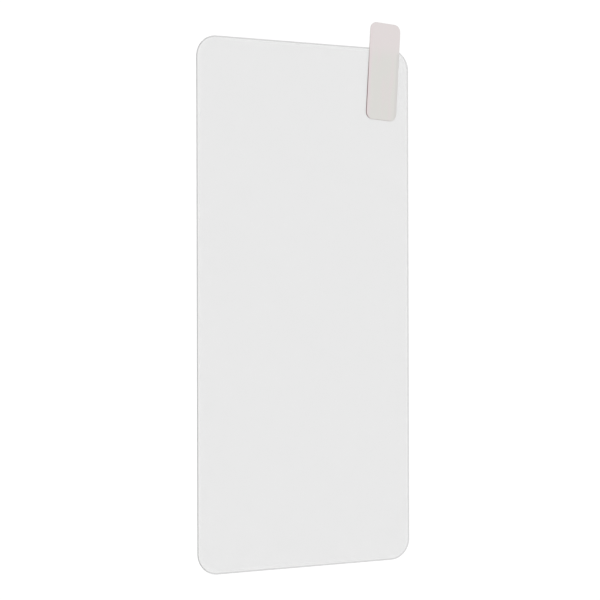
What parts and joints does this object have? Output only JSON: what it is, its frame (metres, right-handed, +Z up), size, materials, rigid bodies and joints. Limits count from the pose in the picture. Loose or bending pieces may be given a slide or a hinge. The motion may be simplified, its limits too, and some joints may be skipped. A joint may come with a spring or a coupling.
{
  "type": "phone screen protector",
  "caption": "Thin rounded-corner tempered-glass sheet with an adhesive film, a peel-off release liner and a pull tab, for covering a phone's display.",
  "frame": {"origin": "middle of the glass's front face, which lies on the table", "axes": "+X across the sheet towards the long edge by the pull tab, +Y along the sheet towards the end with the tab, +Z up, out of the liner"},
  "size_m": [0.0716, 0.166, 0.0008],
  "materials": {
    "glass": "polished",
    "adhesive": "gloss",
    "liner": "gloss",
    "tab": "matte"
  },
  "bodies": {
    "root": {"tempered_glass": "glass", "adhesive_film": "adhesive", "release_liner": "liner", "pull_tab": "tab"}
  },
  "joints": []
}
